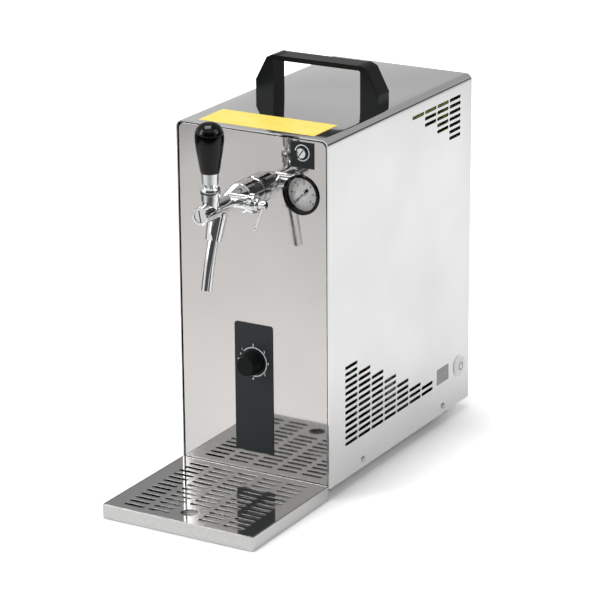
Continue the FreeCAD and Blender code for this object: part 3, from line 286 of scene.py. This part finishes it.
looks = {
    "shell_steel": polishedSheet("shell_sheet", polish["sheet"], 0.04, 0.03),
    "panel_steel": polishedSheet("panel_sheet", polish["panel"], 0.02, 0.02),
    "tray_steel": brushedSheet("tray_sheet", "#c9c9c8", 0.06, (30, 700, 200)),
    "tap_chrome": plated("tap_plate", polish["chrome"], 0.03),
    "galvanised": brushedSheet("zinc_sheet", "#aeb3b5", 0.35, (300, 300, 40)),
    "painted_back": moulded("grey_paint", "#9a9da0", 0.35, 900.0, 0.06),
    "screw_steel": plated("screw_plate", "#c4c6c8", 0.16),
    "foot_rubber": moulded("foot_rubber", "#1c1c1d", 0.62, 1200.0, 0.25),
    "seal_rubber": moulded("seal_rubber", "#222223", 0.6, 1300.0, 0.2),
    "black_plastic": moulded("handle_moulding", "#0b0e0f", 0.24, 1500.0, 0.14, gloss=0.14),
    "knob_black": moulded("knob_moulding", "#0a0d0e", 0.34, 1800.0, 0.12, gloss=0.14),
    "lever_black": moulded("lever_gloss", "#020202", 0.02, 900.0, 0.004, 0.6, 0.0),
    "plate_black": moulded("plate_film", "#262c2e", 0.36, 1600.0, 0.05, gloss=0.25),
    "white_plastic": moulded("white_moulding", "#d9dad6", 0.4, 1200.0, 0.06),
    "button_silver": moulded("button_gloss", "#dfe1e1", 0.3, 900.0, 0.03, 0.15),
    "label_yellow": printedFilm("yellow_film", "#edd14a", "#f5e07c", 0.32),
    "label_grey": printedFilm("grey_film", "#8d8d8c", "#a2a2a1", 0.4),
    "dial_white": printedFilm("dial_enamel", "#f6f5f3", "#dedddb", 0.35),
    "needle_black": moulded("needle_paint", "#101114", 0.4, 1500.0, 0.03, gloss=0.2),
    "gauge_black": moulded("gauge_gloss", "#040405", 0.08, 900.0, 0.01, 0.45, 0.0),
    "brass_fitting": castMetal("brass_turned", "#b8964e", 0.22),
    "copper_pipe": castMetal("copper_tube", "#b5724a", 0.3),
    "cast_aluminium": castMetal("cast_block", "#b9bbbd", 0.4),
    "foam": foam(),
    "hose": clearTube(),
    "compressor_black": moulded("black_enamel", "#121315", 0.14, 700.0, 0.04, 0.6),
    "condenser_black": moulded("fin_paint", "#1f2124", 0.45, 900.0, 0.1),
}
glass = Look("gauge_glass", Base_Color="#f6f8f8", Roughness=0.02, Transmission_Weight=1.0, IOR=1.2,
             Alpha=0.06)
looks["lens_glass"] = glass.bump(glass.noise(glass.place, 40.0, 1.0), 0.01, 0.0002)
whitePrint = moulded("white_print", "#e9ebeb", 0.45, 1500.0, 0.04)
blackPrint = moulded("black_print", "#17181b", 0.45, 1500.0, 0.04, gloss=0.2)

# pieces whose finish differs from the rest of their slot
ownLooks = {"drip_grid": brushedSheet("grid_sheet", "#c6c6c5", 0.02, (30, 700, 200), 0.03),
            "power_button_bezel": moulded("bezel_gloss", "#e8eaea", 0.34, 900.0, 0.02, 0.1)}

for name, node in nodes.items():
    look = ownLooks.get(name, looks[slotOf[name]])
    node.data.materials.clear()
    node.data.materials.append(look.material)
print("materials set:", len(looks))


# Mesh helpers

def dressed(piece, look, body, slotName, *replaced):
    # material and body of a new piece, and the CAD nodes it stands for, which are hidden; slotName is not used
    piece.data.materials.clear()
    piece.data.materials.append(look.material)
    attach(piece, body)
    if replaced:
        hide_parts(*replaced)
    return piece


def gridPiece(name, points, capped=False):
    # points[u, v] on a grid: neighbours make quads, and each row closes on itself along v.
    # capped closes the first and last rows with one face each
    nu, nv = points.shape[:2]
    u, v = np.meshgrid(np.arange(nu - 1), np.arange(nv), indexing="ij")
    nextU = u + 1
    nextV = (v + 1) % nv
    quads = np.stack([u * nv + v, nextU * nv + v, nextU * nv + nextV, u * nv + nextV], axis=-1)
    faces = quads.reshape(-1, 4).tolist()
    if capped:
        faces.append(list(range(nv)))
        faces.append(list(range((nu - 1) * nv, nu * nv))[::-1])
    mesh = bpy.data.meshes.new(name)
    mesh.from_pydata(points.reshape(-1, 3).tolist(), [], faces)
    outward(mesh)
    piece = bpy.data.objects.new(name, mesh)
    bpy.context.scene.collection.objects.link(piece)
    return piece


def outward(mesh):
    # doubles merged, and faces turned outwards
    work = bmesh.new()
    work.from_mesh(mesh)
    bmesh.ops.remove_doubles(work, verts=work.verts, dist=1e-7)
    bmesh.ops.recalc_face_normals(work, faces=work.faces)
    work.to_mesh(mesh)
    work.free()
    mesh.update()


def smoothed(piece, angle=35):
    piece.data.polygons.foreach_set("use_smooth", np.ones(len(piece.data.polygons), dtype=bool))
    piece.data.set_sharp_from_angle(angle=math.radians(angle))
    return piece


def joined(name, pieces):
    # one piece made of several
    work = bmesh.new()
    for piece in pieces:
        work.from_mesh(piece.data)
        bpy.data.objects.remove(piece)
    mesh = bpy.data.meshes.new(name)
    work.to_mesh(mesh)
    work.free()
    piece = bpy.data.objects.new(name, mesh)
    bpy.context.scene.collection.objects.link(piece)
    return piece


def flatStrip(name, along, side, normal, thickness):
    # a printed line: the points along the line plus and minus side, and the same raised by
    # thickness towards the normal
    top = normal * thickness
    rows = np.stack([along + side, along - side, along - side + top, along + side + top], axis=1)
    return gridPiece(name, rows, capped=True)


def arcLine(name, centre, plane, radius, width, startDeg, endDeg, thickness, steps=72):
    # circle arc: centre + radius * (cos a * right + sin a * up), for a from start to end
    right, up, normal = plane
    angle = np.radians(np.linspace(startDeg, endDeg, steps))[:, None]
    ray = np.cos(angle) * right + np.sin(angle) * up
    return flatStrip(name, centre + ray * radius, ray * (width / 2), normal, thickness)


def straightLine(name, start, end, side, normal, width, thickness):
    # start + t * (end - start), for t of 0 and 1; side points across the line
    along = np.linspace(0, 1, 2)[:, None] * (end - start) + start
    return flatStrip(name, along, np.tile(side * width / 2, (2, 1)), normal, thickness)


letter = {"sizeToHeight": 1.35, "boldness": 0.012}


def numeral(name, text, centre, plane, height, thickness):
    # a flat text made a mesh, then laid in the plane of right and up
    right, up, normal = plane
    curve = bpy.data.curves.new(name, "FONT")
    curve.body = text
    curve.size = height * letter["sizeToHeight"]
    curve.align_x = "CENTER"
    curve.align_y = "CENTER"
    curve.extrude = thickness / 2
    curve.offset = height * letter["boldness"]
    temp = bpy.data.objects.new(name + "_text", curve)
    bpy.context.scene.collection.objects.link(temp)
    bpy.context.view_layer.update()
    mesh = bpy.data.meshes.new_from_object(temp.evaluated_get(bpy.context.evaluated_depsgraph_get()))
    bpy.data.objects.remove(temp)
    turn = Matrix((right, up, normal)).transposed().to_4x4()
    mesh.transform(Matrix.Translation(Vector(centre + normal * thickness / 2)) @ turn)
    outward(mesh)
    piece = bpy.data.objects.new(name, mesh)
    bpy.context.scene.collection.objects.link(piece)
    return piece


def revolve(name, origin, axis, side, profile, steps=96):
    # profile of (radius, height) turned about the axis through origin:
    # origin + radius * (cos a * side + sin a * other) + height * axis
    axis = np.array(axis, float)
    side = np.array(side, float)
    other = np.cross(axis, side)
    turn = np.linspace(0, 2 * math.pi, steps, endpoint=False)
    ring = np.cos(turn)[None, :, None] * side + np.sin(turn)[None, :, None] * other
    radius = profile[:, 0][:, None, None]
    height = profile[:, 1][:, None, None]
    points = np.array(origin, float) + ring * radius + axis * height
    return gridPiece(name, points)


rolled = {"segments": 2, "sharpAngle": 38, "flatAngle": 0.5, "merge": 2e-6}


def softEdges(name, width):
    # a copy of a CAD node's mesh, merged, with its hard edges rolled over a little
    mesh = nodes[name].data.copy()
    flatAngle = math.radians(rolled["flatAngle"])
    work = bmesh.new()
    work.from_mesh(mesh)
    bmesh.ops.remove_doubles(work, verts=work.verts, dist=rolled["merge"])
    bmesh.ops.dissolve_limit(work, angle_limit=flatAngle, verts=work.verts, edges=work.edges)
    work.to_mesh(mesh)
    work.free()
    piece = bpy.data.objects.new(name + "_dressed", mesh)
    bpy.context.scene.collection.objects.link(piece)
    if mesh.has_custom_normals:
        mesh.attributes.remove(mesh.attributes["custom_normal"])
    smoothed(piece, rolled["sharpAngle"])
    bevel = piece.modifiers.new("edges", "BEVEL")
    bevel.width = width
    bevel.segments = rolled["segments"]
    bevel.limit_method = "ANGLE"
    bevel.angle_limit = math.radians(rolled["sharpAngle"])
    bevel.harden_normals = True
    bevel.use_clamp_overlap = True
    slotName = slotOf[name]
    return dressed(piece, ownLooks.get(name, looks[slotName]), bodyOf[name], slotName, name)


# Sizes read from the frame

def low(node):
    return np.array(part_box(node)[0])


def high(node):
    return np.array(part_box(node)[1])


def middle(node):
    return (low(node) + high(node)) / 2


def onFront(node, plate):
    # the middle of the node, brought to the front face of the plate
    spot = middle(node)
    spot[1] = low(plate)[1]
    return spot


rightX = np.array((1.0, 0, 0))
backY = np.array((0, 1.0, 0))
upZ = np.array((0, 0, 1.0))
frontY = -backY
frontPlane = (rightX, upZ, frontY)
sidePlane = (backY, upZ, rightX)

# Prints on the plates

dialScale = {"radius": 16.7 * mm, "width": 1.1 * mm, "thick": 0.06 * mm, "numeral": 3.4 * mm,
             "start": 138.0, "end": -92.0, "dotRadius": 0.45 * mm, "dotWidth": 0.88 * mm, "dotSteps": 24,
             "numbers": {"1": (-14.7, 13.0), "2": (-0.5, 19.3), "3": (13.8, 13.6), "4": (18.5, 0.6),
                         "5": (14.2, -12.9), "6": (-0.8, -19.6)},
             "dots": [(-16.6, 7.2), (-19.8, 1.0)]}


def thermostatScale():
    # an arc, numbers and two dots around the spindle
    s = dialScale
    centre = onFront("thermostat_spindle", "control_plate")
    arc = arcLine("scale_arc", centre, frontPlane, s["radius"], s["width"], s["start"], s["end"], s["thick"])
    parts = [arc]
    for text, (x, z) in s["numbers"].items():
        spot = centre + rightX * x * mm + upZ * z * mm
        parts.append(numeral("scale_" + text, text, spot, frontPlane, s["numeral"], s["thick"]))
    for i, (x, z) in enumerate(s["dots"]):
        spot = centre + rightX * x * mm + upZ * z * mm
        ring = (s["dotRadius"], s["dotWidth"], 0, 360)
        parts.append(arcLine("scale_dot%d" % i, spot, frontPlane, *ring, s["thick"], s["dotSteps"]))
    dressed(joined("thermostat_scale", parts), whitePrint, "cabinet", "dial_white")


adjusterRing = {"radius": 8.7 * mm, "width": 1.2 * mm, "start": -128.0, "end": 168.0, "thick": 0.06 * mm}


def adjusterPrint():
    # an open ring around the adjusting screw
    a = adjusterRing
    centre = onFront("pressure_adjuster", "adjuster_plate")
    span = (a["start"], a["end"])
    ring = arcLine("adjuster_ring", centre, frontPlane, a["radius"], a["width"], *span, a["thick"])
    dressed(ring, whitePrint, "cabinet", "dial_white")


adjusterSlot = {"width": 1.1 * mm, "depth": 1.0 * mm, "turn": 55.0, "thick": 0.1 * mm, "short": 0.3 * mm,
                "lift": 0.02 * mm}


def adjusterSlotShadow():
    # painted shadow in the slot of the adjusting screw: a dark flat strip on the slot's floor
    s = adjusterSlot
    floor = onFront("pressure_adjuster", "pressure_adjuster")
    floor[1] += s["depth"] - s["lift"]
    half = (high("pressure_adjuster")[0] - low("pressure_adjuster")[0]) / 2 - s["short"]
    angle = math.radians(s["turn"])
    ray = math.cos(angle) * rightX + math.sin(angle) * upZ
    side = math.cos(angle) * upZ - math.sin(angle) * rightX
    ends = (floor - ray * half, floor + ray * half)
    strip = straightLine("adjuster_slot_shadow", *ends, side, frontY, s["width"], s["thick"])
    dressed(strip, blackPrint, "pressure_adjuster", "needle_black")


gaugeFace = {"tickOut": 17.0 * mm, "longTick": 3.2 * mm, "shortTick": 2.0 * mm, "longWidth": 1.1 * mm,
             "shortWidth": 0.5 * mm, "first": 225.0, "last": -45.0, "longTicks": 7, "between": 5,
             "numeral": 3.3 * mm, "numeralAt": 11.2 * mm, "thick": 0.05 * mm}


def gaugePrint():
    # straight ticks at even angles, each fifth one long and numbered
    g = gaugeFace
    centre = onFront("gauge_dial", "gauge_dial")
    parts = []
    count = (g["longTicks"] - 1) * g["between"] + 1
    for i, angle in enumerate(np.radians(np.linspace(g["first"], g["last"], count))):
        ray = math.cos(angle) * rightX + math.sin(angle) * upZ
        side = -math.sin(angle) * rightX + math.cos(angle) * upZ
        isLong = i % g["between"] == 0
        length = g["longTick"] if isLong else g["shortTick"]
        width = g["longWidth"] if isLong else g["shortWidth"]
        end = centre + ray * g["tickOut"]
        parts.append(straightLine("tick%d" % i, end - ray * length, end, side, frontY, width, g["thick"]))
        if isLong:
            spot = centre + ray * g["numeralAt"]
            text = str(i // g["between"])
            parts.append(numeral("number" + text, text, spot, frontPlane, g["numeral"], g["thick"]))
    dressed(joined("gauge_print", parts), blackPrint, "cabinet", "needle_black")


powerMark = {"radius": 4.6 * mm, "width": 0.9 * mm, "bar": 4.6 * mm, "barRise": 0.8 * mm, "gap": 62.0,
             "sink": 0.16 * mm, "thick": 0.15 * mm}


def powerPrint():
    # an open circle and an upright bar
    p = powerMark
    centre = middle("power_button")
    centre[0] = high("power_button")[0] - p["sink"]
    span = (90 + p["gap"] / 2, 450 - p["gap"] / 2)
    ring = arcLine("power_arc", centre, sidePlane, p["radius"], p["width"], *span, p["thick"])
    top = centre + upZ * (p["radius"] + p["barRise"])
    bar = straightLine("power_bar", top - upZ * p["bar"], top, backY, rightX, p["width"], p["thick"])
    dressed(joined("power_mark", [ring, bar]), blackPrint, "power_button", "needle_black")


thermostatScale()
adjusterPrint()
adjusterSlotShadow()
gaugePrint()
powerPrint()
print("prints laid")

# Lever knob

leverKnob = {"profile": [(9.8, 0.0), (10.2, 0.5), (11.0, 4.5), (12.4, 13.0), (13.9, 22.0), (15.1, 30.5),
                         (15.7, 36.5), (15.6, 41.5), (14.7, 46.0), (12.7, 49.9), (9.7, 52.8), (6.2, 54.5),
                         (2.9, 55.1), (0.02, 55.18)],
             "bore": 2.9, "boreTop": 12.5, "pole": 0.01}


def smoothProfile(points, perSpan=8):
    # Catmull-Rom curve: between b and c, with neighbours a and d, a cubic in t from 0 to 1
    p = np.array(points, float)
    p = np.vstack([2 * p[0] - p[1], p, 2 * p[-1] - p[-2]])
    t = np.linspace(0, 1, perSpan, endpoint=False)[:, None]
    spans = []
    for a, b, c, d in zip(p, p[1:], p[2:], p[3:]):
        square = 2 * a - 5 * b + 4 * c - d
        cube = 3 * b - a - 3 * c + d
        spans.append(0.5 * (2 * b + (c - a) * t + square * t ** 2 + cube * t ** 3))
    return np.vstack(spans + [p[-2:-1]])


def leverHandle():
    # the curve through the profile, and the bore below, turned about the lever
    k = leverKnob
    bottom = middle("lever_knob")
    bottom[2] = low("lever_knob")[2]
    bore = [(k["pole"], k["boreTop"]), (k["bore"], k["boreTop"]), (k["bore"], 0.0)]
    outline = np.vstack([bore, smoothProfile(k["profile"])]) * mm
    knob = smoothed(revolve("lever_handle", bottom, upZ, rightX, outline), 40)
    dressed(knob, looks["lever_black"], "tap_lever", "lever_black", "lever_knob")


leverHandle()

# Pin of the gauge needle

needlePin = {"profile": [(1.7, 0.0), (1.6, 0.25), (1.15, 0.5), (0.6, 0.62), (0.02, 0.65)],
             "steps": 32}


def needlePinHead():
    # a low dome on the needle's axis, turned from its profile
    joint = next(row for row in frame["joints"] if row["name"] == "gauge_needle_swing")
    centre = np.array((joint["pos_m"][0], low("gauge_needle")[1], joint["pos_m"][2]))
    profile = np.array(needlePin["profile"]) * mm
    pin = revolve("needle_pin", centre, frontY, rightX, profile, needlePin["steps"])
    dressed(smoothed(pin), looks["screw_steel"], "gauge_needle", "screw_steel")


needlePinHead()
print("lever knob and needle pin made")

# Rolled edges on the sheet and moulded pieces

edgeWidths = {"outer_shell": 0.5, "front_panel": 0.35, "carry_handle": 0.9, "handle_caps": 0.6,
              "drip_tray": 0.4, "drip_grid": 0.35, "control_plate": 0.25, "adjuster_plate": 0.25,
              "rear_panel": 0.3, "tap_collar": 0.5, "turret_nut": 0.4, "beer_inlet": 0.4, "cable_gland": 0.4}
for nodeName, edge in edgeWidths.items():
    softEdges(nodeName, edge * mm)
print("edges rolled")

# Studio

paper = {"half": 30.0, "drop": 0.0002, "near": "#fcfcfc", "far": "#dcdcdc", "dark": "#585858",
         "fade": (0.25, 1.15), "darkLeft": (0.78, 1.15), "darkAhead": (0.9, 1.35), "towardsEye": (0.5, 0.87),
         "glow": 0.06, "glowEnd": 0.24, "glowBack": 0.1, "backGlow": 0.23, "backReach": (0.05, 1.15),
         "backTurn": (-0.2, 0.2)}


def buildFloor():
    # pale paper: lit near the machine, where it keeps the shadow, and glowing white further off.
    # ahead and to the left it is painted with shade, grey then dark grey, which only the polished metal shows
    half = paper["half"]
    mesh = bpy.data.meshes.new("floor")
    corners = [(x * half, y * half, -paper["drop"]) for x, y in ((-1, -1), (1, -1), (1, 1), (-1, 1))]
    mesh.from_pydata(corners, [], [(0, 1, 2, 3)])
    floor = bpy.data.objects.new("floor", mesh)
    bpy.context.scene.collection.objects.link(floor)
    look = Look("floor_paper", Roughness=0.9, Specular_IOR_Level=0.1)
    rays = look.add("ShaderNodeLightPath", {}, {})
    shown = rays["Is Camera Ray"]
    place = look.add("ShaderNodeSeparateXYZ", {}, {"Vector": look.place})
    ahead = place["Y"] * -1
    eyeX, eyeY = paper["towardsEye"]
    farLeft = (place["X"] * -1).step(*paper["darkLeft"])
    farAhead = (place["X"] * eyeX + ahead * eyeY).step(*paper["darkAhead"])
    pale = look.blend(ahead.step(*paper["fade"]) * (1 - shown), paper["near"], paper["far"])
    look.set(Base_Color=look.blend((farLeft + farAhead).clamped() * (1 - shown), pale, paper["dark"]))
    lowest, highest = cadBox
    beside = place["X"].beyond(lowest[0], highest[0])
    past = place["Y"].beyond(lowest[1], highest[1] - paper["glowBack"])
    distance = (beside ** 2 + past ** 2) ** 0.5
    far = distance.step(0, paper["glowEnd"])
    # painted reflection: behind the machine on the right the floor glows a little, only for glossy rays, so the
    # polished side mirrors it brighter
    behind = distance.step(*paper["backReach"]) * (1 - ahead.step(*paper["backTurn"])) * rays["Is Glossy Ray"]
    strength = shown * (far * (1 - paper["glow"]) + paper["glow"]) + behind * paper["backGlow"]
    glow = look.add("ShaderNodeEmission", {}, {"Color": "#ffffff", "Strength": strength})
    both = look.add("ShaderNodeAddShader", {}, {0: look.shader.outputs[0], 1: glow["Emission"]})
    look.put(look.tree.nodes["Material Output"].inputs["Surface"], both["Shader"])
    mesh.materials.append(look.material)


room = {"diffuse": 0.32, "backFall": 0.6, "frontFall": 0.2, "fallRise": (0.02, 0.32),
        "frontTurn": (-0.1, 0.2), "dark": 0.91,
        "bandAcross": (0.56, 0.74), "bandBottom": (0.01, 0.06), "bandTop": (0.5, 0.6),
        "asideAcross": (0.42, 0.48), "asideBottom": (-0.01, 0.03), "asideTop": (0.2, 0.3)}


def buildWorld():
    # white to the eye; polished metal sees a room that greys with height, with a dark band before the
    # machine and a dark patch behind it on the right
    world = bpy.data.worlds.new("studio")
    bpy.context.scene.world = world
    world.use_nodes = True
    world.node_tree.nodes.clear()
    sky = Tree(world.node_tree)
    rays = sky.add("ShaderNodeLightPath", {}, {})
    seen = (rays["Is Camera Ray"] + rays["Is Transmission Ray"]).clamped()
    mirror = rays["Is Glossy Ray"]
    ray = sky.add("ShaderNodeTexCoord", {}, {})["Generated"]
    sides = sky.add("ShaderNodeSeparateXYZ", {}, {"Vector": ray})
    height = sides["Z"]
    eyeX, eyeY = paper["towardsEye"]
    before = (sides["Y"] * -1).step(*room["frontTurn"])
    depth = before * (room["frontFall"] - room["backFall"]) + room["backFall"]
    fall = height.step(*room["fallRise"]) * depth
    facing = (sides["X"] * eyeX - sides["Y"] * eyeY).step(*room["bandAcross"])
    band = facing * height.step(*room["bandBottom"]) * (1 - height.step(*room["bandTop"]))
    turned = sides["X"].step(*room["asideAcross"]) * (1 - before)
    aside = turned * height.step(*room["asideBottom"]) * (1 - height.step(*room["asideTop"]))
    mirrored = (1 - fall) * (1 - (band + aside) * room["dark"])
    level = seen + (1 - seen) * (mirror * mirrored + (1 - mirror) * room["diffuse"])
    background = sky.add("ShaderNodeBackground", {}, {"Color": "#ffffff", "Strength": level})["Background"]
    sky.add("ShaderNodeOutputWorld", {}, {"Surface": background})


lamps = {"overhead": {"place": (-0.3, -0.2, 2.6), "size": (1.4, 1.4), "power": 45},
         "left": {"place": (-1.8, -2.0, 1.6), "size": (0.9, 1.6), "power": 25},
         "right": {"place": (2.2, 0.3, 1.8), "size": (1.2, 1.6), "power": 14}}
lampAim = (0, 0, 0.2)


def addLight(name, place, size, power):
    lamp = bpy.data.lights.new(name, "AREA")
    lamp.shape = "RECTANGLE"
    lamp.size, lamp.size_y = size
    lamp.energy = power
    light = bpy.data.objects.new(name, lamp)
    bpy.context.scene.collection.objects.link(light)
    light.location = place
    light.rotation_euler = (Vector(lampAim) - Vector(place)).to_track_quat("-Z", "Y").to_euler()


# place and turn fitted to the photograph's edges
view = {"yaw": 30.20, "pitch": 18.46, "roll": -0.42, "lens": 170.0, "sensor": 36.0,
        "right": 1.5356, "before": 2.5352, "height": 1.2078}


def buildCamera():
    yaw, pitch, roll = (math.radians(view[key]) for key in ("yaw", "pitch", "roll"))
    forward = Vector((-math.sin(yaw) * math.cos(pitch), math.cos(yaw) * math.cos(pitch), -math.sin(pitch)))
    right = Vector((math.cos(yaw), math.sin(yaw), 0))
    up = right.cross(forward)
    rolledRight = right * math.cos(roll) + up * math.sin(roll)
    rolledUp = up * math.cos(roll) - right * math.sin(roll)
    data = bpy.data.cameras.new("camera")
    data.lens = view["lens"]
    data.sensor_width = view["sensor"]
    camera = bpy.data.objects.new("camera", data)
    bpy.context.scene.collection.objects.link(camera)
    turn = Matrix((rolledRight, rolledUp, -forward)).transposed().to_4x4()
    place = (view["right"], low("outer_shell")[1] - view["before"], view["height"])
    camera.matrix_world = Matrix.Translation(place) @ turn
    bpy.context.scene.camera = camera


buildFloor()
buildWorld()
for name, lamp in lamps.items():
    addLight(name, **lamp)
buildCamera()
bpy.context.scene.view_settings.view_transform = "Standard"
print("studio ready")
